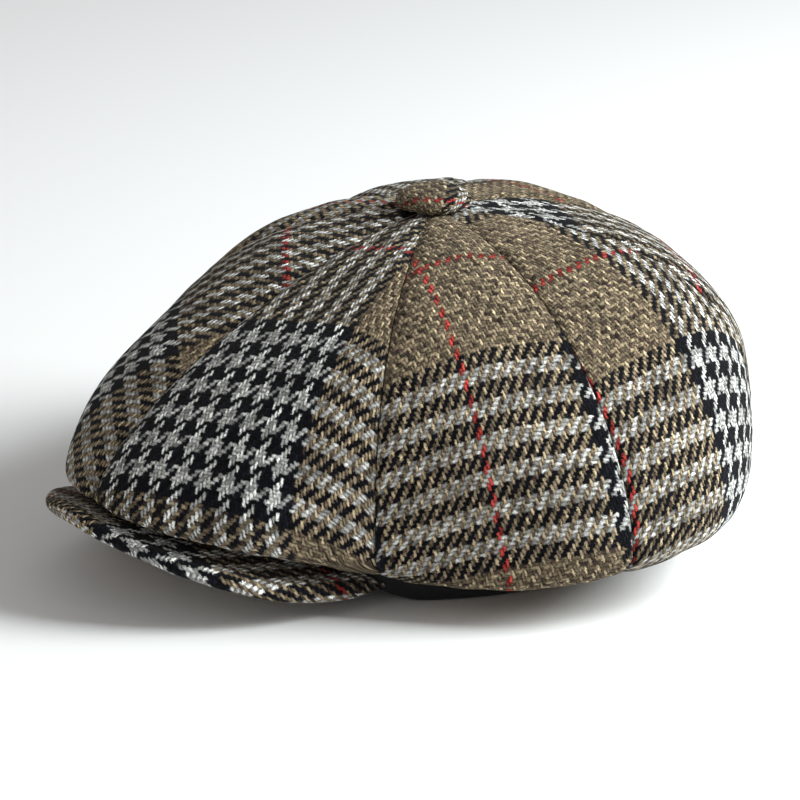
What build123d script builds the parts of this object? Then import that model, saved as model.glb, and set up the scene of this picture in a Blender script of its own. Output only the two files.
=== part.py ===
from build123d import *
from math import asin, cos, pi, radians, sin, sqrt
import os

# Newsboy cap. The wearer looks along -Y, the wearer's left is +X, and the cap stands on the
# bottom edge of its headband. The origin is the centre of the head opening, on that edge.
os.makedirs("parts", exist_ok=True)

# Head opening and headband: three rings of cloth, one inside the next.
head_length = 200.0
head_width = 168.0
sweatband_thickness = 1.2
stiffener_thickness = 0.8
headband_thickness = 1.0
ring_gap = 0.1
headband_cover = 5.3
stiffener_margin = 4.0
sweatband_lift = 1.0

# Crown: eight gores of tweed that meet under the button. The five values of each row are for
# the seams at the front, front side, side, rear side and rear, and both sides are alike.
# The overhang is how far the crown bulges out past the headband, and the shoulder is where it
# turns under, measured up from the middle of the peak's root.
gore_count = 8
gore_sections = 4
crown_height = 128.0
crown_overhang = [56.0, 21.0, 46.0, 27.0, 18.0]
shoulder_over_peak_root = [21.0, 6.0, 7.0, 28.0, 35.0]
top_spread = [1.43, 1.17, 1.01, 0.94, 0.78]
top_fall = [1.38, 0.62, 1.10, 0.72, 1.28]
roll_fullness = [1.80, 1.20, 1.00, 1.00, 1.00]
apex_forward = 6.0
tip_radius = 6.0
tweed_thickness = 1.2
gore_puff = 4.5
hem_height = 7.0
hem_gap = 0.3
crown_over_peak = 1.5

# Lining: eight gores of thin satin inside the crown.
lining_thickness = 0.5
lining_gap = 1.0
lining_drop = 5.6
lining_tip_radius = 2.0

# Peak: an arched crescent of board and wadding in two covers. Its lower face is a shallow arch
# across X whose crown climbs towards the front.
peak_length = 67.0
peak_half_width = 68.0
peak_rise_at_root = 18.0
peak_climb = 0.19
peak_arch_half_chord = 74.0
peak_chord_rise_at_root = 4.6
peak_chord_climb = 0.135
peak_wing_share = 0.93
peak_wing_tuck = 4.0
under_cover_thickness = 1.2
board_thickness = 1.8
wadding_thickness = 3.0
upper_cover_thickness = 1.2
peak_rim = 1.4
peak_clearance = 0.3
layer_gap = 0.05

# Covered button, its washer and the disc that backs the gore tips.
button_radius = 15.0
button_height = 8.0
button_edge_height = 2.2
button_cloth = 1.1
button_shell_thickness = 0.5
button_back_radius = 10.5
button_back_thickness = 0.8
button_seat_gap = 0.2
prong_spacing = 6.0
prong_width = 3.0
prong_thickness = 0.8
prong_foot = 4.5
backing_radius = 11.0
backing_thickness = 0.6
backing_drop = 1.8
washer_radius = 9.0
washer_thickness = 0.8

# Sewn-in trim at the rear of the sweatband.
join_tape_width = 14.0
join_tape_thickness = 0.4
label_width = 24.0
label_height = 16.0
label_thickness = 0.3
label_turn = 28.0


# Rings and the oval they share.

ring_inner = {
    "sweatband": 0.0,
    "band_stiffener": sweatband_thickness + ring_gap,
    "headband": sweatband_thickness + stiffener_thickness + 2 * ring_gap,
}
headband_outer = ring_inner["headband"] + headband_thickness
gore_angle = 360.0 / gore_count
apex_y = -apex_forward
shoulder_height = [peak_rise_at_root + above for above in shoulder_over_peak_root]
peak_thickness = under_cover_thickness + board_thickness + wadding_thickness + upper_cover_thickness
peak_root_y = -(head_length / 2 + headband_outer)
headband_height = peak_rise_at_root + peak_thickness + crown_over_peak + headband_cover


def oval_half_axes(offset):
    """Half width and half length of the head oval, grown by an offset."""
    return head_width / 2 + offset, head_length / 2 + offset


def peak_lower_face(x, y):
    """Height of the peak's lower face above the base, at a place in plan."""
    forward = peak_root_y - y
    middle = peak_rise_at_root + peak_climb * forward
    chord = peak_chord_rise_at_root + peak_chord_climb * forward
    return middle - (middle - chord) * (x / peak_arch_half_chord) ** 2


def around(values, angle):
    """Value at an angle from the front, on a smooth curve through one value per seam."""
    seams = values + values[-2:0:-1]
    total = 0.0
    for number, value in enumerate(seams):
        turn = radians(angle - gore_angle * number)
        waves = sum(cos(order * turn) for order in range(1, gore_count // 2))
        total += value * (1 + 2 * waves + cos(gore_count / 2 * turn)) / gore_count
    return total


def band_reach(angle):
    """Distance from the button's axis to the headband's outer face, at an angle."""
    half_width, half_length = oval_half_axes(headband_outer)
    a = (sin(radians(angle)) / half_width) ** 2 + (cos(radians(angle)) / half_length) ** 2
    b = -2 * apex_y * cos(radians(angle)) / half_length**2
    c = (apex_y / half_length) ** 2 - 1
    return (-b + sqrt(b * b - 4 * a * c)) / (2 * a)


def meridian(angle, puff, side_inset, top_inset, tip):
    """Points (distance from the button's axis, height) of the crown from its tip to its hem."""
    reach = band_reach(angle) + around(crown_overhang, angle) - side_inset
    shoulder = around(shoulder_height, angle)
    spread = around(top_spread, angle)
    fall = around(top_fall, angle)
    roll = around(roll_fullness, angle)
    top = crown_height - top_inset
    hem_reach = band_reach(angle) + hem_gap
    hem_x = hem_reach * sin(radians(angle))
    hem_y = apex_y - hem_reach * cos(radians(angle))
    hem = hem_height
    if hem_y < 0:
        peak_top = peak_lower_face(hem_x, hem_y) + peak_thickness
        hem = max(hem, peak_top + crown_over_peak)
    hem = hem + side_inset
    tip_turn = asin((tip / reach) ** (1 / spread))
    points = []
    steps = 7
    for step in range(steps + 1):
        turn = tip_turn + (pi / 2 - tip_turn) * step / steps
        swell = puff * sin(turn / 2) ** 0.7
        out = reach * sin(turn) ** spread + 0.8 * swell
        up = shoulder + (top - shoulder) * max(cos(turn), 0.0) ** fall
        points.append((out, up + 0.6 * swell * (1 - turn / (pi / 2))))
    steps = 3
    for step in range(1, steps + 1):
        turn = pi / 2 * step / steps
        swell = puff * max(sin((pi / 2 + turn) / 2 + pi / 4 * step / steps), 0.0) ** 0.7
        if step == steps:
            swell = 0.0
        out = hem_reach + (reach - hem_reach) * max(cos(turn), 0.0) ** roll + 0.8 * swell
        points.append((out, shoulder - (shoulder - hem) * sin(turn) ** roll))
    return points


def meridian_plane(angle):
    """Upright plane through the button's axis, its X pointing outwards at an angle."""
    outward = (sin(radians(angle)), -cos(radians(angle)), 0)
    return Plane(origin=(0, apex_y, 0), x_dir=outward, z_dir=(outward[1], -outward[0], 0))


def gore(number, thickness, side_inset, top_inset, tip):
    """One gore of cloth: a loft from seam to seam through upright sections, fullest midway."""
    with BuildPart() as panel:
        for section in range(gore_sections + 1):
            share = section / gore_sections
            angle = gore_angle * (number + share)
            puff = gore_puff * 4 * share * (1 - share)
            outer = meridian(angle, puff, side_inset, top_inset, tip)
            inner = meridian(angle, puff, side_inset + thickness, top_inset + thickness, tip)
            with BuildSketch(meridian_plane(angle)):
                with BuildLine():
                    outside = Spline(*outer)
                    inside = Spline(*inner)
                    Line(outside @ 0, inside @ 0)
                    Line(outside @ 1, inside @ 1)
                make_face()
        loft()
    return panel


def peak_slab(low, high):
    """Closed layer that follows the peak's arch, between two heights above its lower face."""
    half_span = peak_half_width + 6
    with BuildPart() as slab:
        for y in (-20.0, peak_root_y - peak_length - 20.0):
            with BuildSketch(Plane.XZ.offset(-y)):
                with BuildLine():
                    edges = []
                    for lift in (low, high):
                        side = peak_lower_face(half_span, y) + lift
                        middle = 2 * (peak_lower_face(0, y) + lift) - side
                        edges.append(Bezier((-half_span, side), (0, middle), (half_span, side)))
                    Line(edges[0] @ 0, edges[1] @ 0)
                    Line(edges[0] @ 1, edges[1] @ 1)
                make_face()
        loft(ruled=True)
    return slab


def peak_outline(inset, root_gap):
    """Crescent in plan: a front edge round to two wings, cut by the headband's oval."""
    half = peak_half_width - inset
    front = peak_root_y - peak_length + inset
    root_half_width, root_half_length = oval_half_axes(headband_outer + root_gap)
    wing_x = peak_wing_share * half
    wing_y = peak_wing_tuck - root_half_length * sqrt(1 - (wing_x / root_half_width) ** 2)
    right_side = [
        (0.66 * half, front + 0.28 * peak_length),
        (0.95 * half, front + 0.68 * peak_length),
        (half, peak_root_y + 0.10 * peak_length),
        (wing_x, wing_y),
    ]
    left_side = [(-x, y) for x, y in reversed(right_side)]
    with BuildSketch() as outline:
        with BuildLine():
            edge = Spline(*left_side, (0, front), *right_side)
            Line(edge @ 1, edge @ 0)
        make_face()
        Ellipse(root_half_width, root_half_length, mode=Mode.SUBTRACT)
    return outline.sketch


# Rings.

# Everything under the peak's lower face, which the rings are arched up to clear.
below_peak = peak_slab(-80.0, 0.0).part

heights = {
    "sweatband": (sweatband_lift, headband_height, sweatband_thickness),
    "band_stiffener": (sweatband_lift, headband_height - stiffener_margin, stiffener_thickness),
    "headband": (0.0, headband_height, headband_thickness),
}

for name, (bottom, top, thickness) in heights.items():
    with BuildPart() as ring:
        with BuildSketch(Plane.XY.offset(bottom)):
            Ellipse(*oval_half_axes(ring_inner[name] + thickness))
            Ellipse(*oval_half_axes(ring_inner[name]), mode=Mode.SUBTRACT)
        extrude(amount=top - bottom)
        add(below_peak, mode=Mode.SUBTRACT)
    ring.part.label = name
    export_step(ring.part, f"parts/{name}.step")


# Crown and lining.

for number in range(gore_count):
    crown_panel = gore(number, tweed_thickness, 0.0, 0.0, tip_radius)
    crown_panel.part.label = f"crown_panel_{number + 1}"
    export_step(crown_panel.part, f"parts/crown_panel_{number + 1}.step")

    lining_panel = gore(
        number,
        lining_thickness,
        tweed_thickness + lining_gap,
        lining_drop,
        lining_tip_radius,
    )
    lining_panel.part.label = f"lining_panel_{number + 1}"
    export_step(lining_panel.part, f"parts/lining_panel_{number + 1}.step")


# Peak: the covers close round the rim and leave a pocket for the board and the wadding.

pocket_low = under_cover_thickness
pocket_high = peak_thickness - upper_cover_thickness
outline = peak_outline(0.0, peak_clearance)
pocket_outline = peak_outline(peak_rim, peak_clearance + peak_rim)
filling_outline = peak_outline(peak_rim + layer_gap, peak_clearance + peak_rim + layer_gap)
pocket_slab = peak_slab(pocket_low, pocket_high).part
split_height = pocket_low + board_thickness

with BuildPart() as pocket:
    add(pocket_outline)
    extrude(amount=200)
    add(pocket_slab, mode=Mode.INTERSECT)

peak_layers = {
    "peak_under_cover": (0.0, split_height - layer_gap, outline, True),
    "peak_upper_cover": (split_height, peak_thickness, outline, True),
    "peak_board": (pocket_low + layer_gap, split_height - layer_gap, filling_outline, False),
    "peak_wadding": (split_height, pocket_high - layer_gap, filling_outline, False),
}
for name, (low, high, shape, hollow) in peak_layers.items():
    with BuildPart() as layer:
        add(shape)
        extrude(amount=200)
        add(peak_slab(low, high).part, mode=Mode.INTERSECT)
        if hollow:
            add(pocket.part, mode=Mode.SUBTRACT)
    layer.part.label = name
    export_step(layer.part, f"parts/{name}.step")


# Covered button.

seat = crown_height + button_seat_gap
apex_plane = meridian_plane(90)
apex_axis = Axis((0, apex_y, 0), (0, 0, 1))


def dome_section(radius, edge, top, thickness, lip):
    """Half section of a domed cap with its rim turned in underneath by a lip."""
    with BuildSketch(apex_plane) as section:
        with BuildLine():
            outer = TangentArc((0, top), (radius, edge), tangent=(1, 0))
            inner = TangentArc((0, top - thickness), (radius - thickness, edge), tangent=(1, 0))
            Line(outer @ 0, inner @ 0)
            if lip > 0:
                base = seat
                Polyline(outer @ 1, (radius - 1, base), (radius - lip, base))
                Line((radius - lip, base), (radius - lip, base + thickness))
                Polyline(
                    (radius - lip, base + thickness),
                    (radius - 1 - thickness / 2, base + thickness),
                    inner @ 1,
                )
            else:
                Line(outer @ 1, inner @ 1)
        make_face()
    return section.sketch


button_top = seat + button_height
button_edge = seat + button_edge_height
with BuildPart() as button_cover:
    add(dome_section(button_radius, button_edge, button_top, button_cloth, 4.0))
    revolve(axis=apex_axis)
button_cover.part.label = "button_cover"
export_step(button_cover.part, "parts/button_cover.step")

shell_radius = button_radius - button_cloth - layer_gap
shell_top = button_top - button_cloth - layer_gap
with BuildPart() as button_shell:
    add(dome_section(shell_radius, button_edge, shell_top, button_shell_thickness, 0.0))
    revolve(axis=apex_axis)
button_shell.part.label = "button_shell"
export_step(button_shell.part, "parts/button_shell.step")

# The back plate sits on the cover's turned-in lip and its two prongs go down through the crown.
back_bottom = seat
washer_top = crown_height - tweed_thickness - backing_drop - backing_thickness - layer_gap
prong_end = washer_top - washer_thickness - layer_gap - prong_thickness
with BuildPart() as button_back:
    with BuildSketch(Plane.XY.offset(back_bottom)):
        with Locations((0, apex_y)):
            Circle(button_back_radius)
    extrude(amount=button_back_thickness)
    for side in (-1, 1):
        with BuildSketch(Plane.XY.offset(prong_end)):
            with Locations((side * prong_spacing / 2, apex_y)):
                Rectangle(prong_thickness, prong_width)
        extrude(amount=back_bottom - prong_end)
        foot_x = side * (prong_spacing / 2 + prong_foot / 2 - prong_thickness / 2)
        with BuildSketch(Plane.XY.offset(prong_end)):
            with Locations((foot_x, apex_y)):
                Rectangle(prong_foot, prong_width)
        extrude(amount=prong_thickness)
button_back.part.label = "button_back"
export_step(button_back.part, "parts/button_back.step")

hole_radius = prong_spacing / 2 + prong_thickness + 0.4
discs = {
    "tip_backing": (backing_radius, backing_thickness, washer_top + layer_gap),
    "button_washer": (washer_radius, washer_thickness, washer_top - washer_thickness),
}
for name, (radius, thickness, bottom) in discs.items():
    with BuildPart() as disc:
        with BuildSketch(Plane.XY.offset(bottom)):
            with Locations((0, apex_y)):
                Circle(radius)
                Circle(hole_radius, mode=Mode.SUBTRACT)
        extrude(amount=thickness)
    disc.part.label = name
    export_step(disc.part, f"parts/{name}.step")


# Trim inside the rear of the sweatband: the tape over its join, and a blank size label.

trims = {
    "sweatband_join_tape": (join_tape_width, headband_height - 10, join_tape_thickness, 0.0),
    "size_label": (label_width, label_height, label_thickness, label_turn),
}
for name, (width, height, thickness, turn) in trims.items():
    with BuildPart() as trim:
        with BuildSketch(Plane.XY.offset(sweatband_lift + 5)):
            Ellipse(*oval_half_axes(-layer_gap))
            Ellipse(*oval_half_axes(-layer_gap - thickness), mode=Mode.SUBTRACT)
        extrude(amount=height)
        with BuildSketch(Plane.XY.rotated((0, 0, turn))):
            with Locations((0, head_length / 2)):
                Rectangle(width, head_length / 2)
        extrude(amount=headband_height, mode=Mode.INTERSECT)
    trim.part.label = name
    export_step(trim.part, f"parts/{name}.step")
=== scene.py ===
from math import asin, cos, exp, hypot, pi, radians, sin, sqrt

import bmesh
import bpy
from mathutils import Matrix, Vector, noise


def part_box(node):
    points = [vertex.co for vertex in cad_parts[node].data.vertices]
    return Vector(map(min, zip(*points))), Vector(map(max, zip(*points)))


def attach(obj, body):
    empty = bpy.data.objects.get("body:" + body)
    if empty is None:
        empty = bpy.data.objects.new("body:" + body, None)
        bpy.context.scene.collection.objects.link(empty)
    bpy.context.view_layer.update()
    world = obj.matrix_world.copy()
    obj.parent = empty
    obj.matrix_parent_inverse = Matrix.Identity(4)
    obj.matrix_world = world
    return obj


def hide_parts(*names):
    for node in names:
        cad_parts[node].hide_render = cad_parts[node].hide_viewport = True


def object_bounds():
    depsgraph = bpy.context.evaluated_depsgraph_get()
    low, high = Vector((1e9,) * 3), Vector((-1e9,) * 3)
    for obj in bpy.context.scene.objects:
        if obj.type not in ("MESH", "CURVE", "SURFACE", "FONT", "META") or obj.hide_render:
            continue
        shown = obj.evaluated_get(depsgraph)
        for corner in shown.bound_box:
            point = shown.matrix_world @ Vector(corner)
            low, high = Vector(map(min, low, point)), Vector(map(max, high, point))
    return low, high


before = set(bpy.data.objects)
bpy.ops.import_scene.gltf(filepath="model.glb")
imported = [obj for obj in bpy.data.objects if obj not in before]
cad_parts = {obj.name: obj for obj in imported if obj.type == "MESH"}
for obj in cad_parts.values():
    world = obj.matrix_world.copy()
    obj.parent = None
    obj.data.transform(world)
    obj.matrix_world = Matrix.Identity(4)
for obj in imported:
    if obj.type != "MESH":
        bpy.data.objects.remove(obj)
cad_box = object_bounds()


# Camera. A long lens looks down a little on the cap from in front of the wearer's left side,
# so that the peak points to the lower left and the crown's side fills the middle.

camera_turn = radians(55.86)
camera_height = radians(18.82)
camera_distance = 1.596
camera_aim = Vector((0.0, 0.0, 0.060))
camera_lens = 183.6
aim_left = 0.0180
aim_down = 0.0117

towards_camera = Vector(
    (sin(camera_turn) * cos(camera_height), -cos(camera_turn) * cos(camera_height), sin(camera_height))
)
camera_right = Vector((cos(camera_turn), sin(camera_turn), 0.0))
camera_up = towards_camera.cross(camera_right)
frame_middle = camera_aim - aim_left * camera_right - aim_down * camera_up

camera = bpy.data.objects.new("camera", bpy.data.cameras.new("camera"))
bpy.context.scene.collection.objects.link(camera)
camera.location = camera_aim + camera_distance * towards_camera
camera.data.lens = camera_lens
camera.rotation_euler = (frame_middle - camera.location).to_track_quat("-Z", "Y").to_euler()
bpy.context.scene.camera = camera


# Studio. One broad soft light stands behind the wearer's left shoulder, so the cap's front lies in
# half shade, filled by a pale floor, a pale surround and a weak warm light in front.

floor_half_size = 12.0
floor_gap = 0.0004


def soft_light(name, place, size, power, colour):
    """A square soft light that points at the middle of the cap."""
    lamp = bpy.data.lights.new(name, "AREA")
    lamp.size = size
    lamp.energy = power
    lamp.color = colour
    light = bpy.data.objects.new(name, lamp)
    light.location = place
    light.rotation_euler = (camera_aim - light.location).to_track_quat("-Z", "Y").to_euler()
    bpy.context.scene.collection.objects.link(light)


soft_light("key_light", Vector((0.78, 0.98, 0.90)), 0.8, 44.0, (0.95, 1.0, 1.0))
soft_light("fill_light", Vector((0.1, -1.5, 0.8)), 1.0, 2.5, (1.0, 0.93, 0.82))

surround = bpy.data.worlds.new("surround")
surround.use_nodes = True
sky = surround.node_tree.nodes["Background"]
sky.inputs["Color"].default_value = (1.0, 1.0, 1.0, 1.0)
sky.inputs["Strength"].default_value = 0.34
bpy.context.scene.world = surround
bpy.context.scene.view_settings.view_transform = "Standard"

floor_mesh = bmesh.new()
bmesh.ops.create_grid(floor_mesh, x_segments=1, y_segments=1, size=floor_half_size)
bmesh.ops.translate(floor_mesh, verts=floor_mesh.verts, vec=(0.0, 0.0, cad_box[0].z - floor_gap))
floor_data = bpy.data.meshes.new("floor")
floor_mesh.to_mesh(floor_data)
floor_mesh.free()
floor = bpy.data.objects.new("floor", floor_data)
bpy.context.scene.collection.objects.link(floor)
floor_paint = bpy.data.materials.new("floor")
floor_paint.use_nodes = True
paint = floor_paint.node_tree.nodes["Principled BSDF"]
paint.inputs["Base Color"].default_value = (0.9, 0.9, 0.9, 1.0)
paint.inputs["Roughness"].default_value = 0.9
floor.data.materials.append(floor_paint)


# Tweed. One coarse woollen cloth makes the crown, the peak's covers and the button: a two-and-two
# twill whose yarns run four black and four white in one band, and brown and tan by turns about a
# pair of red in the next, both ways of the cloth. The yarns are hairy and unevenly dyed. The
# pattern is laid out in metres on each piece's own flat cutting pattern.

warp_pitch = 0.00122
weft_pitch = 0.00158
warp_check_yarns = 68
warp_plain_yarns = 72
weft_check_yarns = 52
weft_plain_yarns = 58
warp_cycle = warp_check_yarns + warp_plain_yarns
warp_red = warp_check_yarns + warp_plain_yarns / 2
weft_red = weft_check_yarns + weft_plain_yarns / 2
check_size = 4
twill_repeat = 4
float_length = 2
weft_height_share = 0.72
weft_brightness = 0.82
dye_strength = 1.28
black_yarn = (0.0045, 0.005, 0.008, 1.0)
white_yarn = (0.54, 0.54, 0.52, 1.0)
tan_yarn = (0.37, 0.295, 0.185, 1.0)
brown_yarn = (0.045, 0.027, 0.024, 1.0)
red_yarn = (0.36, 0.042, 0.034, 1.0)


class Shade:
    """A shader socket. Arithmetic on it adds Math nodes, and node() adds a node of any type."""

    def __init__(self, tree, socket=None):
        self.tree = tree
        self.socket = socket

    def node(self, kind, values=None, output=0, **settings):
        made = self.tree.nodes.new("ShaderNode" + kind)
        for name, setting in settings.items():
            setattr(made, name, setting)
        for name, value in (values or {}).items():
            if isinstance(value, Shade):
                self.tree.links.new(value.socket, made.inputs[name])
            else:
                made.inputs[name].default_value = value
        return Shade(self.tree, made.outputs[output] if made.outputs else None)

    def maths(self, operation, *others):
        return self.node("Math", dict(enumerate((self, *others))), operation=operation)

    def mix(self, first, second):
        """Colour that goes from the first to the second as this socket goes from 0 to 1."""
        return self.node("Mix", {0: self, 6: first, 7: second}, output=2, data_type="RGBA")

    def scaled(self, factor):
        return self.node("VectorMath", {0: self, 3: factor}, operation="SCALE")

    def __add__(self, other):
        return self.maths("ADD", other)

    def __sub__(self, other):
        return self.maths("SUBTRACT", other)

    def __rsub__(self, other):
        return self.node("Math", {0: other, 1: self}, operation="SUBTRACT")

    def __mul__(self, other):
        return self.maths("MULTIPLY", other)

    def __truediv__(self, other):
        return self.maths("DIVIDE", other)

    def __mod__(self, other):
        return self.maths("FLOORED_MODULO", other)

    def __lt__(self, other):
        return self.maths("LESS_THAN", other)

    __radd__ = __add__
    __rmul__ = __mul__


def new_material(name):
    """An empty material and the start of its shader."""
    made = bpy.data.materials.new(name)
    made.use_nodes = True
    made.node_tree.nodes.clear()
    return made, Shade(made.node_tree)


def yarn_colour(yarn, check_yarns, plain_yarns):
    """Colour of a numbered yarn: a band of fours, then a band of singles about a red pair. The
    uneven dye greys some of the white and mixes the brown and the tan."""
    place = yarn % (check_yarns + plain_yarns)
    whiteness = (place / check_size).maths("FLOOR") % 2
    fours = (whiteness * (1.6 - 1.3 * melange)).mix(black_yarn, white_yarn)
    beyond = place - check_yarns
    singles = (0.5 * (beyond % 2) + 1.7 * melange - 0.6).mix(brown_yarn, tan_yarn)
    from_red = (beyond - (plain_yarns / 2 - 0.5)).maths("ABSOLUTE")
    banded = (place < check_yarns).mix(singles, fours)
    return (from_red < 1.0).mix(banded, red_yarn)


tweed, shade = new_material("tweed")
cloth = shade.node("UVMap", uv_map="cloth")
melange = shade.node("TexNoise", {"Vector": cloth, "Scale": 330.0, "Detail": 4.0})
slow_wander = shade.node("TexNoise", {"Vector": cloth, "Scale": 130.0, "Detail": 1.0}, output=1)
quick_wander = shade.node("TexNoise", {"Vector": cloth, "Scale": 1300.0, "Detail": 3.0}, output=1)

# Places across the warp and along it, counted in yarns, with the yarns' slow and quick wander.
across = (
    shade.node("SeparateXYZ", {0: cloth}, output="X") / warp_pitch
    + 1.1 * (shade.node("SeparateXYZ", {0: slow_wander}, output="X") - 0.5)
    + 1.9 * (shade.node("SeparateXYZ", {0: quick_wander}, output="X") - 0.5)
)
along = (
    shade.node("SeparateXYZ", {0: cloth}, output="Y") / weft_pitch
    + 0.9 * (shade.node("SeparateXYZ", {0: slow_wander}, output="Y") - 0.5)
    + 1.4 * (shade.node("SeparateXYZ", {0: quick_wander}, output="Y") - 0.5)
)
warp_yarn = across.maths("FLOOR")
weft_yarn = along.maths("FLOOR")
warp_on_top = (warp_yarn + weft_yarn) % twill_repeat < float_length

# Each float runs over two yarns, stands proud in its middle and dives under at its ends.
warp_run = ((along + warp_yarn) % twill_repeat) / float_length
weft_run = ((across + weft_yarn) % twill_repeat - float_length) / float_length
warp_side = (across - warp_yarn) * 2 - 1
weft_side = (along - weft_yarn) * 2 - 1


def float_height(side, run, lean):
    """Height of a float, round across itself, that lies at a slant because its yarn is twisted."""
    leaning = side - lean * (run - 0.5)
    round_over = (1 - 0.95 * (leaning * leaning)).maths("MAXIMUM", 0.0)
    rise = (run * pi).maths("SINE")
    return round_over * (0.30 + 0.70 * rise)


warp_height = float_height(warp_side, warp_run, 0.5)
weft_height = weft_height_share * float_height(weft_side, weft_run, -0.3)
height = warp_on_top * warp_height + (1 - warp_on_top) * weft_height

# Each float takes its own shade by chance, and fibres run along it.
warp_float = ((along + warp_yarn) / twill_repeat).maths("FLOOR")
weft_float = ((across + weft_yarn) / twill_repeat).maths("FLOOR")
warp_name = shade.node("CombineXYZ", {"X": warp_yarn, "Y": warp_float})
weft_name = shade.node("CombineXYZ", {"X": weft_yarn, "Y": weft_float, "Z": 7.0})
warp_chance = shade.node("TexWhiteNoise", {"Vector": warp_name})
weft_chance = shade.node("TexWhiteNoise", {"Vector": weft_name})
chance = warp_on_top * warp_chance + (1 - warp_on_top) * weft_chance

strand = shade.node(
    "CombineXYZ",
    {"X": across * (0.9 + 2.1 * warp_on_top), "Y": along * (3.0 - 2.1 * warp_on_top)},
)
fibre = shade.node("TexNoise", {"Vector": strand, "Scale": 1.0, "Detail": 3.0})
patch = shade.node("TexNoise", {"Vector": cloth, "Scale": 45.0, "Detail": 3.0})
# The float height darkens the colour towards each float's ends, where it dives under, and over the lower
# weft floats: painted shade in the weave's hollows. The chance, fibre and patch terms are the yarns' own
# uneven tone.
crevice_shade_and_tone = (0.16 + 1.25 * height) * (0.45 + chance) * (2.6 * fibre - 0.3) * (0.65 + 0.7 * patch)
warp_colour = yarn_colour(warp_yarn, warp_check_yarns, warp_plain_yarns)
weft_colour = yarn_colour(weft_yarn, weft_check_yarns, weft_plain_yarns)
yarn = warp_on_top.mix(weft_colour.scaled(weft_brightness), warp_colour)
relief = shade.node("Bump", {"Height": height + 0.35 * fibre, "Distance": 0.00045, "Strength": 0.9})
wool = shade.node(
    "BsdfPrincipled",
    {
        "Base Color": yarn.scaled(crevice_shade_and_tone * dye_strength),
        "Normal": relief,
        "Roughness": 0.92,
        "Specular IOR Level": 0.08,
        "Sheen Weight": 0.05,
        "Sheen Roughness": 0.45,
        "Sheen Tint": (0.85, 0.83, 0.78, 1.0),
    },
)
shade.node("OutputMaterial", {"Surface": wool})


# Crown. Eight leaf-shaped gores of the tweed are seamed to each other from the button down to the
# headband, with the seam allowances turned in, so that each gore puffs out between two valleys.
# The crown rolls under at its shoulder, and its hem is sewn to the headband a little above the
# band's lower edge, or over the peak.

gore_angle = 45.0
crown_height = 0.128
crown_overhang = [0.056, 0.021, 0.046, 0.027, 0.018]
shoulder_height = [0.039, 0.024, 0.025, 0.046, 0.053]
top_spread = [1.43, 1.17, 1.01, 0.94, 0.78]
top_fall = [1.38, 0.62, 1.10, 0.72, 1.28]
roll_fullness = [1.80, 1.20, 1.00, 1.00, 1.00]
apex_y = -0.006
tip_radius = 0.006
tweed_thickness = 0.0011
seam_allowance = 0.0030
seam_valley_depth = 0.0007
seam_valley_width = 0.0022
seam_ease = 1.35
gore_columns = 36
gore_rows = 78
gore_fullness = [0.0055, 0.0045, 0.0045, 0.0045, 0.0045, 0.0045, 0.0045, 0.0055]
hem_height = 0.0115
hem_gap = 0.0003
crown_over_peak = 0.0015
band_half_width = 0.0872
band_half_length = 0.1032
peak_root_y = -band_half_length
peak_rise_at_root = 0.018
peak_climb = 0.19
peak_arch_half_chord = 0.074
peak_chord_rise_at_root = 0.0046
peak_chord_climb = 0.135
peak_thickness = 0.0072


def peak_lower_face(x, y):
    """Height of the peak's lower face above the base, at a place in plan."""
    forward = peak_root_y - y
    middle = peak_rise_at_root + peak_climb * forward
    chord = peak_chord_rise_at_root + peak_chord_climb * forward
    return middle - (middle - chord) * (x / peak_arch_half_chord) ** 2


def around(values, angle):
    """Value at an angle from the front, on a smooth curve through one value per seam."""
    total = 0.0
    for number, value in enumerate(values + values[-2:0:-1]):
        turn = radians(angle - gore_angle * number)
        total += value * (1 + 2 * (cos(turn) + cos(2 * turn) + cos(3 * turn)) + cos(4 * turn)) / 8
    return total


def band_reach(angle):
    """Distance from the button's axis to the headband's outer face, at an angle."""
    a = (sin(radians(angle)) / band_half_width) ** 2 + (cos(radians(angle)) / band_half_length) ** 2
    b = -2 * apex_y * cos(radians(angle)) / band_half_length**2
    c = (apex_y / band_half_length) ** 2 - 1
    return (-b + sqrt(b * b - 4 * a * c)) / (2 * a)


def meridian(angle, fullness, inset, drop, tip, stations):
    """Points (distance from the button's axis, height) down the crown, at stations from 0 at the
    tip through 1 at the shoulder to 2 at the hem."""
    band = band_reach(angle)
    reach = band + around(crown_overhang, angle) - inset
    shoulder = around(shoulder_height, angle)
    spread = around(top_spread, angle)
    fall = around(top_fall, angle)
    roll = around(roll_fullness, angle)
    top = crown_height - drop
    hem_reach = band + hem_gap
    hem_x = hem_reach * sin(radians(angle))
    hem_y = apex_y - hem_reach * cos(radians(angle))
    hem = hem_height
    if hem_y < 0:
        hem = max(hem, peak_lower_face(hem_x, hem_y) + peak_thickness + crown_over_peak)
    hem += inset
    tip_turn = asin((tip / reach) ** (1 / spread))
    points = []
    for station in stations:
        if station <= 1:
            turn = tip_turn + (pi / 2 - tip_turn) * station
            swell = fullness * sin(turn / 2) ** 0.7
            out = reach * sin(turn) ** spread + 0.8 * swell
            up = shoulder + (top - shoulder) * max(cos(turn), 0.0) ** fall
            up += 0.6 * swell * (1 - turn / (pi / 2))
        else:
            turn = pi / 2 * (station - 1)
            swell = fullness * max(sin(pi / 4 + turn), 0.0) ** 0.7 if station < 1.999 else 0.0
            out = hem_reach + (reach - hem_reach) * max(cos(turn), 0.0) ** roll + 0.8 * swell
            up = shoulder - (shoulder - hem) * sin(turn) ** roll
        points.append((out, up))
    return points


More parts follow.
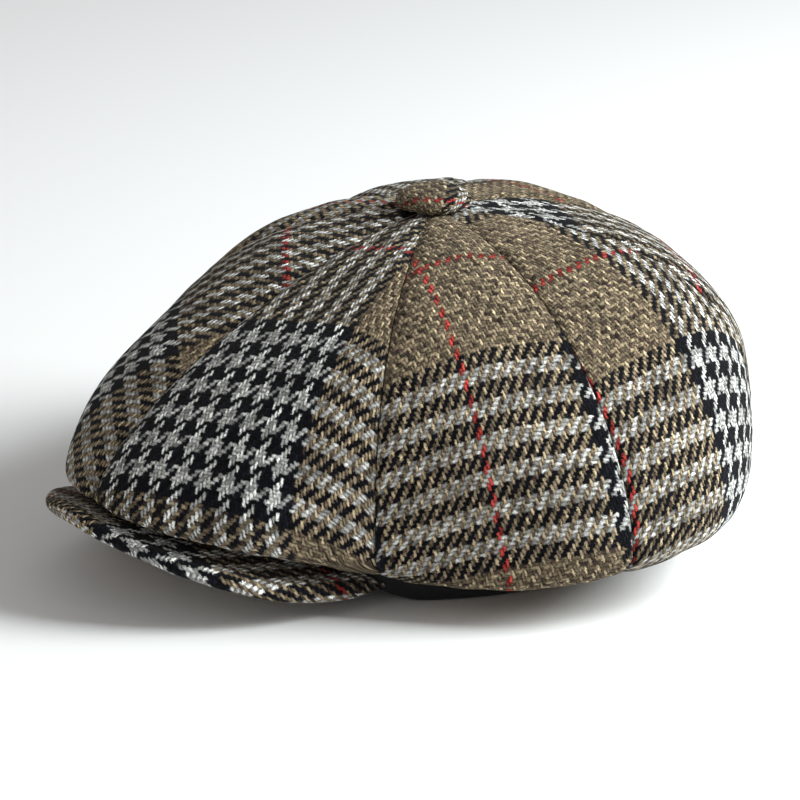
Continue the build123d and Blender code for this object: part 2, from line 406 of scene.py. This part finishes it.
def even_stations(angle, fullness, inset, drop, tip, count):
    """Stations that divide the meridian at an angle into equal lengths of cloth."""
    steps = 400
    fine = [2 * step / steps for step in range(steps + 1)]
    line = meridian(angle, fullness, inset, drop, tip, fine)
    run = [0.0]
    for first, second in zip(line, line[1:]):
        run.append(run[-1] + hypot(second[0] - first[0], second[1] - first[1]))
    stations = []
    place = 0
    for number in range(count + 1):
        wanted = run[-1] * number / count
        while place < steps - 1 and run[place + 1] < wanted:
            place += 1
        part = (wanted - run[place]) / (run[place + 1] - run[place])
        stations.append(fine[place] + (fine[place + 1] - fine[place]) * min(part, 1.0))
    return stations


def gore_mesh(number, fullness, inset, drop, tip, columns, rows, valley, rumple):
    """One gore as a bmesh, and the flat place of each of its vertices."""
    middle = gore_angle * (number + 0.5)
    stations = even_stations(middle, fullness, inset, drop, tip, rows)
    sheet = bmesh.new()
    bmesh.ops.create_grid(sheet, x_segments=columns, y_segments=rows, size=0.5)
    lines = {}
    for vert in sheet.verts:
        column = round((vert.co.x + 0.5) * columns)
        row = round((0.5 - vert.co.y) * rows)
        lines[column, row] = vert
    for column in range(columns + 1):
        share = 0.5 + 0.5 * sin(seam_ease * (2 * column / columns - 1)) / sin(seam_ease)
        angle = gore_angle * (number + share)
        swell = fullness * (4 * share * (1 - share)) ** 0.85
        line = meridian(angle, swell, inset, drop, tip, stations)
        outward = Vector((sin(radians(angle)), -cos(radians(angle)), 0.0))
        for row, (out, up) in enumerate(line):
            before, after = line[max(row - 1, 0)], line[min(row + 1, rows)]
            slope = Vector((after[0] - before[0], after[1] - before[1])).normalized()
            seam_distance = out * radians(gore_angle) * min(share, 1 - share)
            place = outward * out + Vector((0.0, apex_y, up))
            shift = rumple(place, seam_distance, row / rows, number)
            shift -= valley * exp(-((seam_distance / seam_valley_width) ** 2))
            face = outward * -slope.y + Vector((0.0, 0.0, slope.x))
            lines[column, row].co = place + face * shift
    flat = {}
    half = columns // 2
    for row in range(rows + 1):
        for step in (1, -1):
            width = 0.0
            for column in range(half, half + step * (half + 1), step):
                here = lines[column, row].co
                if column != half:
                    width += (here - lines[column - step, row].co).length
                if row == 0:
                    flat[lines[column, row]] = (step * width, tip)
                else:
                    above = lines[column, row - 1]
                    drift = step * width - flat[above][0]
                    fall = max((here - above.co).length_squared - drift * drift, 0.0)
                    flat[lines[column, row]] = (step * width, flat[above][1] + sqrt(fall))
    turn_in_seams(sheet, flat, [lines[c, r] for c in (0, columns) for r in range(rows + 1)])
    return sheet, flat


def turn_in_seams(sheet, flat, seam_verts):
    """Turns a seam allowance in from both long edges of a gore."""
    on_seam = set(seam_verts)
    seams = [edge for edge in sheet.edges if on_seam.issuperset(edge.verts) and edge.is_boundary]
    turned = bmesh.ops.extrude_edge_only(sheet, edges=seams)["geom"]
    inside = Vector((0.0, 0.0, 0.030))
    for vert in [part for part in turned if isinstance(part, bmesh.types.BMVert)]:
        kept = next(edge.other_vert(vert) for edge in vert.link_edges if edge.other_vert(vert) in on_seam)
        u, v = flat[kept]
        flat[vert] = (u + (seam_allowance if u > 0 else -seam_allowance), v)
        vert.co += (inside - vert.co).normalized() * seam_allowance


def lay_cloth(sheet, flat, turn=0.0, shift=(0.0, 0.0)):
    """Writes the flat places, turned and shifted on the cloth, as the mesh's cloth map."""
    layer = sheet.loops.layers.uv.new("cloth")
    for face in sheet.faces:
        for loop in face.loops:
            u, v = flat[loop.vert]
            loop[layer].uv = (
                u * cos(turn) - v * sin(turn) + shift[0],
                v * cos(turn) + u * sin(turn) + shift[1],
            )


def finish_piece(name, shape, material, thickness, smoother=1, soft_edge=False):
    """Makes an object of a bmesh, with its material, its thickness and its place on the cap.
    With a soft edge the smoothing comes after the thickness and rounds the cut edges too."""
    data = bpy.data.meshes.new(name)
    shape.to_mesh(data)
    shape.free()
    for polygon in data.polygons:
        polygon.use_smooth = True
    data.materials.append(material)
    piece = bpy.data.objects.new(name, data)
    bpy.context.scene.collection.objects.link(piece)
    kinds = ["SOLIDIFY", "SUBSURF"] if soft_edge else ["SUBSURF", "SOLIDIFY"]
    for kind in kinds:
        if kind == "SUBSURF" and smoother:
            rounding = piece.modifiers.new("rounding", kind)
            rounding.levels = rounding.render_levels = smoother
        if kind == "SOLIDIFY" and thickness:
            wall = piece.modifiers.new("wall", kind)
            wall.thickness = thickness
            wall.offset = -1.0
    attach(piece, "root")
    return piece


def flat_size(sheet, flat):
    """Width, length and area of a piece of cloth as it was cut."""
    across = [place[0] for place in flat.values()]
    along = [place[1] for place in flat.values()]
    area = sum(face.calc_area() for face in sheet.faces)
    return max(across) - min(across), max(along) - min(along), area


def crown_rumple(place, seam_distance, share, number):
    """Soft hollows in the cloth, and puckers that die away from the seams and the hem."""
    hollow = noise.noise(place * 17.0 + Vector((3.7, 1.3, 0.4)))
    crease = noise.noise(Vector((place.x * 60.0, place.y * 60.0, place.z * 60.0 + number)))
    pucker = noise.noise(Vector((place.x * 130.0, place.y * 130.0, place.z * 130.0)))
    free = 1 - exp(-seam_distance / 0.012)
    seam_pull = exp(-seam_distance / 0.011) * (1 - exp(-seam_distance / 0.003))
    hem_pull = exp(-(1 - share) * 9.0)
    return (
        0.0034 * hollow * free
        + 0.0007 * crease * free
        + 0.0013 * pucker * seam_pull
        + 0.0020 * pucker * hem_pull * free
    )


# Turn of each gore on the cloth in degrees, and the yarns of the pattern (warp, weft) that lie
# under the middle of the gore at the button.
gore_layout = {
    1: (2.5, warp_check_yarns - 0.0190 / warp_pitch, -0.085 / weft_pitch),
    2: (9.5, warp_red + 0.0260 / warp_pitch, weft_red - 0.0478 / weft_pitch),
    3: (-11.0, warp_red + 0.0225 / warp_pitch, weft_red - 0.0680 / weft_pitch),
    4: (6.0, 60.0, 20.0),
    5: (-4.0, 130.0, 44.0),
    6: (8.0, 40.0, 70.0),
    7: (-7.0, 100.0, 8.0),
    8: (-12.0, 22.0, weft_red - 0.0580 / weft_pitch),
}

for number in range(8):
    name = f"crown_panel_{number + 1}"
    sheet, flat = gore_mesh(
        number, gore_fullness[number], 0.0, 0.0, tip_radius, gore_columns, gore_rows,
        seam_valley_depth, crown_rumple,
    )
    turn, warp_start, weft_start = gore_layout[number + 1]
    lay_cloth(sheet, flat, radians(turn), (warp_start * warp_pitch, weft_start * weft_pitch))
    width, length, area = flat_size(sheet, flat)
    bmesh.ops.recalc_face_normals(sheet, faces=sheet.faces)
    gore = finish_piece(f"{name}_cloth", sheet, tweed, tweed_thickness)
    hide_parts(name)


# Lining. Eight smaller gores of thin black satin hang inside the crown, seamed the same way, and
# their hem is caught with the crown's in the headband seam. The satin sags a little between seams.

lining_inset = 0.0046
lining_drop = 0.0066
lining_tip = 0.0020
lining_thickness = 0.0004
lining_fullness = 0.0030
lining_valley_depth = 0.0004
lining_columns = 20
lining_rows = 44
black_satin = (0.012, 0.012, 0.014, 1.0)

satin, shade = new_material("satin_lining")
cloth = shade.node("UVMap", uv_map="cloth")
thread = shade.node("Mapping", {"Vector": cloth, "Scale": (900.0, 5200.0, 1.0)})
fine_lines = shade.node("TexNoise", {"Vector": thread, "Scale": 1.0, "Detail": 1.0})
patch = shade.node("TexNoise", {"Vector": cloth, "Scale": 60.0, "Detail": 2.0})
sheen_bump = shade.node("Bump", {"Height": fine_lines, "Distance": 0.0001, "Strength": 0.35})
lining_shader = shade.node(
    "BsdfPrincipled",
    {
        "Base Color": patch.mix(black_satin, (0.022, 0.022, 0.026, 1.0)),
        "Roughness": 0.26 + 0.16 * fine_lines,
        "Normal": sheen_bump,
        "Sheen Weight": 0.25,
    },
)
shade.node("OutputMaterial", {"Surface": lining_shader})


def lining_rumple(place, seam_distance, share, number):
    """Loose hollows of thin cloth, held at the seams."""
    hollow = noise.noise(place * 24.0 + Vector((9.1, 4.0, number)))
    pucker = noise.noise(place * 90.0 + Vector((0.0, 2.0, number)))
    held = 1 - exp(-seam_distance / 0.008)
    return (0.0011 * hollow - 0.0011) * held + 0.0004 * pucker


for number in range(8):
    name = f"lining_panel_{number + 1}"
    sheet, flat = gore_mesh(
        number, lining_fullness, lining_inset, lining_drop, lining_tip, lining_columns, lining_rows,
        lining_valley_depth, lining_rumple,
    )
    width, length, area = flat_size(sheet, flat)
    lay_cloth(sheet, flat)
    bmesh.ops.recalc_face_normals(sheet, faces=sheet.faces)
    gore = finish_piece(f"{name}_cloth", sheet, satin, lining_thickness)
    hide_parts(name)


# Headband. A ring of plain black cotton with a folded lower edge, which shows as a narrow dark
# strip under the crown's hem. At the front it arches up over the root of the peak.

head_half_width = 0.084
head_half_length = 0.100
headband_offset = 0.0031
headband_thickness = 0.0009
band_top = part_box("headband")[1].z
band_cotton = (0.0085, 0.0085, 0.0095, 1.0)
band_cotton_tops_and_mottle = (0.020, 0.020, 0.023, 1.0)


def shaped_grid(columns, rows, place):
    """A grid whose vertices go where place(u, v) says, with u and v from 0 to 1."""
    sheet = bmesh.new()
    bmesh.ops.create_grid(sheet, x_segments=columns, y_segments=rows, size=0.5)
    flat = {}
    for vert in sheet.verts:
        vert.co, flat[vert] = place(vert.co.x + 0.5, vert.co.y + 0.5)
    return sheet, flat


def woven(name, colour, thread_top_and_mottle_colour, pitch, roughness, twill=0.0):
    """A fine plain or twilled weave of one colour, on the piece's flat pattern."""
    material, shade = new_material(name)
    cloth = shade.node("UVMap", uv_map="cloth")
    across = shade.node("SeparateXYZ", {0: cloth}, output="X") * (pi / pitch)
    along = shade.node("SeparateXYZ", {0: cloth}, output="Y") * (pi / pitch)
    over = (across + twill * along).maths("SINE")
    under = along.maths("SINE")
    weave = over * under * (1 - twill) * 0.5 + twill * 0.5 * over + 0.5
    fibre = shade.node("TexNoise", {"Vector": cloth, "Scale": 2500.0, "Detail": 2.0})
    patch = shade.node("TexNoise", {"Vector": cloth, "Scale": 70.0, "Detail": 3.0})
    relief = shade.node("Bump", {"Height": weave + fibre, "Distance": pitch * 0.3, "Strength": 0.7})
    # The colour goes lighter on the thread tops and darker in the gaps between threads, as painted shade
    # in the weave. It also goes lighter or darker in random patches, as the cloth's own uneven tone.
    cotton = shade.node(
        "BsdfPrincipled",
        {
            "Base Color": (weave * 0.6 + patch * 0.4).mix(colour, thread_top_and_mottle_colour),
            "Roughness": roughness + 0.1 * fibre,
            "Normal": relief,
            "Specular IOR Level": 0.25,
            "Sheen Weight": 0.08,
        },
    )
    shade.node("OutputMaterial", {"Surface": cotton})
    return material


def band_ring(grow, bottom, top, ripple):
    """A ring of cloth on the head oval grown by a distance, arched up at the front by the peak."""
    half_width = head_half_width + grow
    half_length = head_half_length + grow
    girth = pi * (half_width + half_length)

    def place(u, v):
        turn = 2 * pi * u
        x, y = half_width * sin(turn), -half_length * cos(turn)
        low = max(bottom, peak_lower_face(x, y)) if y < 0 else bottom
        up = low + (top - low) * v
        wave = ripple * noise.noise(Vector((x * 45, y * 45, up * 60)))
        away = Vector((x / half_width**2, y / half_length**2, 0.0)).normalized()
        return Vector((x, y, up)) + away * wave, (girth * u, up)

    sheet, flat = shaped_grid(180, 6, place)
    width, length, area = flat_size(sheet, flat)
    lay_cloth(sheet, flat)
    bmesh.ops.remove_doubles(sheet, verts=sheet.verts, dist=1e-5)
    bmesh.ops.recalc_face_normals(sheet, faces=sheet.faces)
    return sheet, width, length, area


cotton = woven("black_cotton", band_cotton, band_cotton_tops_and_mottle, 0.00035, 0.8)
sheet, width, length, area = band_ring(headband_offset, 0.0, band_top, 0.0003)
headband = finish_piece(
    "headband_cloth", sheet, cotton, headband_thickness, soft_edge=True
)
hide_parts("headband")


# Sweatband and its stiffener. A black cotton twill ring lies against the head, turned in at its
# lower edge and stitched there. A ring of buckram behind it keeps the band upright.

sweatband_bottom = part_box("sweatband")[0].z
sweatband_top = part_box("sweatband")[1].z
sweatband_offset = 0.0011
sweatband_thickness = 0.0010
stiffener_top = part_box("band_stiffener")[1].z
stiffener_offset = 0.0020
stiffener_thickness = 0.0006
stitch_length = 0.0026
stitch_spacing = 0.0042
stitch_radius = 0.00028
stitch_height = 0.0032
stitch_sink = 0.00004

twill = woven(
    "sweatband_twill", (0.012, 0.012, 0.014, 1.0), (0.030, 0.030, 0.034, 1.0), 0.0006, 0.72, 0.8
)
sheet, width, length, area = band_ring(sweatband_offset, sweatband_bottom, sweatband_top, 0.0002)
sweatband = finish_piece(
    "sweatband_cloth", sheet, twill, sweatband_thickness, soft_edge=True
)
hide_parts("sweatband")

buckram = woven("buckram", (0.46, 0.43, 0.36, 1.0), (0.74, 0.71, 0.62, 1.0), 0.0011, 0.85)
sheet, width, length, area = band_ring(stiffener_offset, sweatband_bottom, stiffener_top, 0.0)
stiffener = finish_piece(
    "band_stiffener_cloth", sheet, buckram, stiffener_thickness, soft_edge=True
)
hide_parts("band_stiffener")

thread_black, shade = new_material("sewing_thread")
ply = shade.node("TexNoise", {"Vector": shade.node("TexCoord", output="Object"), "Scale": 3000.0})
thread_shader = shade.node(
    "BsdfPrincipled",
    {"Base Color": ply.mix((0.03, 0.03, 0.034, 1.0), (0.09, 0.09, 0.10, 1.0)), "Roughness": 0.55},
)
shade.node("OutputMaterial", {"Surface": thread_shader})


def stitch_row(name, spots):
    """A row of short sewn stitches, each a place and the way it runs."""
    row = bmesh.new()
    for spot, along, away in spots:
        made = bmesh.ops.create_icosphere(row, subdivisions=1, radius=1.0)["verts"]
        side = along.cross(away).normalized()
        for vert in made:
            x, y, z = vert.co
            round_place = side * (y * stitch_radius) + away * (z * stitch_radius)
            vert.co = spot + along * (x * stitch_length / 2) + round_place
    bmesh.ops.recalc_face_normals(row, faces=row.faces)
    return finish_piece(name, row, thread_black, 0.0, smoother=0)


spots = []
stitch_count = round(pi * (head_half_width + head_half_length) / stitch_spacing)
for number in range(stitch_count):
    turn = 2 * pi * number / stitch_count
    x = (head_half_width - stitch_sink) * sin(turn)
    y = -(head_half_length - stitch_sink) * cos(turn)
    low = max(sweatband_bottom, peak_lower_face(x, y)) if y < 0 else sweatband_bottom
    along = Vector((head_half_width * cos(turn), head_half_length * sin(turn), 0.0)).normalized()
    away = Vector((-along.y, along.x, 0.0))
    spots.append((Vector((x, y, low + stitch_height)), along, away))
stitch_row("sweatband_stitches", spots)


# Join tape and size label. A black cotton tape covers the sweatband's join at the back of the
# head, and a small blank satin label is sewn beside it, on the wearer's right.

back_reach = 0.098
patch_gap = 0.0001
tape_width = 0.0138
tape_thickness = 0.0003
label_turn = radians(28.0)
label_width = 0.0238
label_thickness = 0.00022


def band_patch(name, middle_turn, width, height, bottom, gap, material, thickness):
    """A small piece of cloth laid against the inside of the sweatband."""
    half_width, half_length = head_half_width - gap, head_half_length - gap

    def place(u, v):
        turn = middle_turn + (u - 0.5) * width / back_reach
        reach = 1 / sqrt((sin(turn) / half_width) ** 2 + (cos(turn) / half_length) ** 2)
        wave = 0.00015 * noise.noise(Vector((u * 3, v * 3, middle_turn)))
        here = Vector((-(reach - wave) * sin(turn), (reach - wave) * cos(turn), bottom + height * v))
        return here, (width * u, height * v)

    sheet, flat = shaped_grid(14, 12, place)
    lay_cloth(sheet, flat)
    bmesh.ops.recalc_face_normals(sheet, faces=sheet.faces)
    middle = sheet.faces[:][len(sheet.faces) // 2]
    outward = Vector((middle.calc_center_median().x, middle.calc_center_median().y, 0.0))
    if middle.normal.dot(outward) < 0:
        bmesh.ops.reverse_faces(sheet, faces=sheet.faces)
    patch = finish_piece(f"{name}_cloth", sheet, material, thickness, soft_edge=True)
    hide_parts(name)


tape_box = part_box("sweatband_join_tape")
label_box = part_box("size_label")
tape = woven("join_tape", (0.018, 0.018, 0.020, 1.0), (0.045, 0.045, 0.050, 1.0), 0.0007, 0.75)
band_patch(
    "sweatband_join_tape", 0.0, tape_width, tape_box[1].z - tape_box[0].z, tape_box[0].z,
    patch_gap, tape, tape_thickness,
)
label_satin = woven("label_satin", (0.50, 0.50, 0.47, 1.0), (0.66, 0.66, 0.63, 1.0), 0.0002, 0.42)
band_patch(
    "size_label", label_turn, label_width, label_box[1].z - label_box[0].z, label_box[0].z,
    patch_gap, label_satin, label_thickness,
)


# Peak. An arched crescent in two tweed covers: the upper one goes round the rolled rim and meets
# the under one on the lower side. A sheet of board keeps its shape, and wadding over the board
# gives the thick soft edge. Its root is sewn into the headband seam, under the crown's front.

peak_length = 0.067
peak_half_width = 0.068
peak_widest_y = peak_root_y + 0.0067
peak_end_turn = radians(110.3)
root_end_turn = radians(46.6)
root_gap = 0.0003
rim_round = 0.0042
root_round = 0.0014
rim_seam_turn = radians(125)
root_roll_share = 0.1
rim_roll_share = 0.62
peak_cloth_start = (warp_cycle * warp_pitch - 0.016, weft_red * weft_pitch - 0.093)
wadding_low = 0.0031
wadding_high = 0.0057


def peak_line(u):
    """Place on the peak's root, place on its rim, both in plan, at a share across the peak."""
    side = 2 * u - 1
    root_turn, rim_turn = side * root_end_turn, side * peak_end_turn
    root = Vector(
        ((band_half_width + root_gap) * sin(root_turn), -(band_half_length + root_gap) * cos(root_turn))
    )
    depth = peak_widest_y - (peak_root_y - peak_length)
    corner = 1 + 0.03 * sin(rim_turn) ** 4 * max(cos(rim_turn), 0.0)
    rim = Vector((peak_half_width * corner * sin(rim_turn), peak_widest_y - depth * cos(rim_turn)))
    return root, rim


def peak_cover(upper):
    """The place function of a cover, from its root edge to its seam under the rim."""
    sign = 1.0 if upper else -1.0
    rim_end = rim_seam_turn if upper else pi - rim_seam_turn

    def place(u, v):
        root, rim = peak_line(u)
        width = max((rim - root).length, 0.0008)
        away = (rim - root) / max((rim - root).length, 1e-6)
        body = min(1.0, width / 0.014) ** 0.6
        near, far = min(root_round, 0.2 * width), min(rim_round, 0.45 * width)
        if v < root_roll_share:
            turn = v / root_roll_share * pi / 2
            reach, lift, run = near * (1 - cos(turn)), sin(turn), near * turn
        elif v < rim_roll_share:
            across = (v - root_roll_share) / (rim_roll_share - root_roll_share)
            reach = near + (width - near - far) * across
            lift, run = 1.0, near * pi / 2 + reach - near
        else:
            turn = (v - rim_roll_share) / (1 - rim_roll_share) * rim_end
            reach, lift = width - far + far * sin(turn), cos(turn)
            run = near * pi / 2 + width - near - far + far * turn
        spot = root + away * reach
        rumple = noise.noise(Vector((spot.x * 38, spot.y * 38, 2.0 * sign)))
        fine = noise.noise(Vector((spot.x * 120, spot.y * 120, 5.0 * sign)))
        loose = min(width / 0.03, 1.0)
        half = peak_thickness / 2 * body
        up = peak_lower_face(spot.x, spot.y) + peak_thickness / 2 + sign * half * lift
        up += (0.0005 * rumple + 0.00025 * fine) * loose - 0.0004 * sign
        cut = root + away * run
        return Vector((spot.x, spot.y, up)), (cut.x, -cut.y)

    return place


for upper in (True, False):
    name = "peak_upper_cover" if upper else "peak_under_cover"
    sheet, flat = shaped_grid(110, 46, peak_cover(upper))
    width, length, area = flat_size(sheet, flat)
    lay_cloth(sheet, flat, shift=peak_cloth_start)
    bmesh.ops.remove_doubles(sheet, verts=sheet.verts, dist=1e-6)
    bmesh.ops.recalc_face_normals(sheet, faces=sheet.faces)
    highest = max(sheet.faces, key=lambda face: abs(face.normal.z))
    if (highest.normal.z > 0) != upper:
        bmesh.ops.reverse_faces(sheet, faces=sheet.faces)
    cover = finish_piece(f"{name}_cloth", sheet, tweed, tweed_thickness)
    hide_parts(name)


def wadding_place(u, v):
    """A slightly smaller crescent half way up between the board and the upper cover."""
    root, rim = peak_line(0.04 + 0.92 * u)
    away = (rim - root).normalized()
    width = (rim - root).length
    spot = root + away * (0.0021 + (width - 0.0045) * v)
    level = 0.5 * (wadding_low + wadding_high)
    puff = 0.0002 * noise.noise(Vector((spot.x * 90, spot.y * 90, 0.0)))
    return Vector((spot.x, spot.y, peak_lower_face(spot.x, spot.y) + level + puff)), (spot.x, spot.y)


wadding_white, shade = new_material("wadding")
object_place = shade.node("TexCoord", output="Object")
tuft = shade.node("TexNoise", {"Vector": object_place, "Scale": 700.0, "Detail": 5.0})
fluff = shade.node("Bump", {"Height": tuft, "Distance": 0.0006, "Strength": 0.8})
wadding_shader = shade.node(
    "BsdfPrincipled",
    {"Base Color": tuft.mix((0.62, 0.60, 0.55, 1.0), (0.88, 0.87, 0.84, 1.0)), "Normal": fluff,
     "Roughness": 0.95, "Sheen Weight": 0.3},
)
shade.node("OutputMaterial", {"Surface": wadding_shader})
sheet, flat = shaped_grid(60, 16, wadding_place)
lay_cloth(sheet, flat)
bmesh.ops.recalc_face_normals(sheet, faces=sheet.faces)
if max(sheet.faces, key=lambda face: abs(face.normal.z)).normal.z < 0:
    bmesh.ops.reverse_faces(sheet, faces=sheet.faces)
bmesh.ops.translate(sheet, verts=sheet.verts, vec=(0.0, 0.0, (wadding_high - wadding_low) / 2))
wadding = finish_piece(
    "peak_wadding_pad", sheet, wadding_white, wadding_high - wadding_low, soft_edge=True
)
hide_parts("peak_wadding")

board, shade = new_material("peak_board")
object_place = shade.node("TexCoord", output="Object")
grain = shade.node("TexNoise", {"Vector": object_place, "Scale": 260.0, "Detail": 4.0})
board_bump = shade.node("Bump", {"Height": grain, "Distance": 0.0002, "Strength": 0.4})
board_shader = shade.node(
    "BsdfPrincipled",
    {"Base Color": grain.mix((0.018, 0.018, 0.019, 1.0), (0.045, 0.045, 0.047, 1.0)),
     "Roughness": 0.42 + 0.2 * grain, "Normal": board_bump},
)
shade.node("OutputMaterial", {"Surface": board_shader})


def dress(node, material):
    """Gives a CAD node its own material."""
    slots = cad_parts[node].data.materials
    slots.clear()
    slots.append(material)


dress("peak_board", board)


# Button. A disc of the tweed is gathered over a pressed metal shell and closed by a back plate,
# whose two prongs go down through the gore tips and spread over a washer inside. A disc of
# buckram under the tips takes the strain.

button_low, button_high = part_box("button_cover")
button_radius = (button_high.x - button_low.x) / 2 - 0.0002
button_edge = button_low.z + 0.0022
button_wrap = radians(128)
button_cloth_turn = radians(56.0)
button_cloth_start = (warp_cycle * warp_pitch - 0.004, weft_red * weft_pitch - 0.012)
button_thickness = 0.0009
gathers = 22


def button_place(u, v):
    """The cloth from the button's top over its edge and in under the shell, where it gathers."""
    turn = 2 * pi * u
    bend = button_wrap * v
    if bend < pi / 2:
        reach = button_radius * sin(bend) ** 0.92
        up = button_edge + (button_high.z - button_edge) * cos(bend) ** 0.9
    else:
        reach = button_radius * (1 - 0.30 * (1 - sin(bend)))
        up = button_edge + (button_edge - button_low.z) * cos(bend) * 1.4
    gather = sin(gathers * turn + 1.7 * sin(3 * turn)) * v**4
    dent = noise.noise(Vector((sin(turn) * reach * 90, cos(turn) * reach * 90, 4.0)))
    reach *= 1 + 0.022 * gather
    up += -0.00035 * gather + 0.0007 * dent * sin(bend)
    cut = button_radius * bend * 0.86
    here = Vector((reach * sin(turn), apex_y - reach * cos(turn), up))
    return here, (cut * sin(turn), cut * cos(turn))


sheet, flat = shaped_grid(88, 26, button_place)
width, length, area = flat_size(sheet, flat)
lay_cloth(sheet, flat, button_cloth_turn, button_cloth_start)
bmesh.ops.remove_doubles(sheet, verts=sheet.verts, dist=2e-5)
bmesh.ops.recalc_face_normals(sheet, faces=sheet.faces)
if max(sheet.faces, key=lambda face: face.calc_center_median().z).normal.z < 0:
    bmesh.ops.reverse_faces(sheet, faces=sheet.faces)
button = finish_piece("button_cover_cloth", sheet, tweed, button_thickness)
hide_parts("button_cover")


def metal(name, dark, light, roughness):
    """Thin pressed sheet metal with faint rolling lines."""
    material, shade = new_material(name)
    place = shade.node("Mapping", {"Vector": shade.node("TexCoord", output="Object"),
                                   "Scale": (400.0, 9000.0, 400.0)})
    lines = shade.node("TexNoise", {"Vector": place, "Scale": 1.0, "Detail": 3.0})
    bump = shade.node("Bump", {"Height": lines, "Distance": 0.00004, "Strength": 0.3})
    sheet_metal = shade.node(
        "BsdfPrincipled",
        {"Base Color": lines.mix(dark, light), "Metallic": 1.0, "Roughness": roughness + 0.18 * lines,
         "Normal": bump},
    )
    shade.node("OutputMaterial", {"Surface": sheet_metal})
    return material


dress("button_shell", metal("button_metal", (0.55, 0.55, 0.57, 1.0), (0.80, 0.80, 0.82, 1.0), 0.24))
prong_steel = metal("prong_steel", (0.42, 0.42, 0.44, 1.0), (0.62, 0.62, 0.64, 1.0), 0.30)
dress("button_back", prong_steel)
dress("button_washer", prong_steel)

backing_low, backing_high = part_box("tip_backing")
backing_radius = (backing_high.x - backing_low.x) / 2
backing_hole = 0.0043
backing_thickness = 0.0005


def backing_place(u, v):
    """A flat ring about the prongs, just under the gore tips."""
    turn = 2 * pi * u
    reach = backing_hole + (backing_radius - 0.0002 - backing_hole) * v
    here = Vector((reach * sin(turn), apex_y - reach * cos(turn), backing_high.z - 0.00005))
    return here, (reach * sin(turn), reach * cos(turn))


sheet, flat = shaped_grid(48, 4, backing_place)
width, length, area = flat_size(sheet, flat)
lay_cloth(sheet, flat)
bmesh.ops.remove_doubles(sheet, verts=sheet.verts, dist=1e-5)
bmesh.ops.recalc_face_normals(sheet, faces=sheet.faces)
if sheet.faces[:][0].normal.z < 0:
    bmesh.ops.reverse_faces(sheet, faces=sheet.faces)
backing = finish_piece(
    "tip_backing_cloth", sheet, buckram, backing_thickness, soft_edge=True
)
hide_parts("tip_backing")
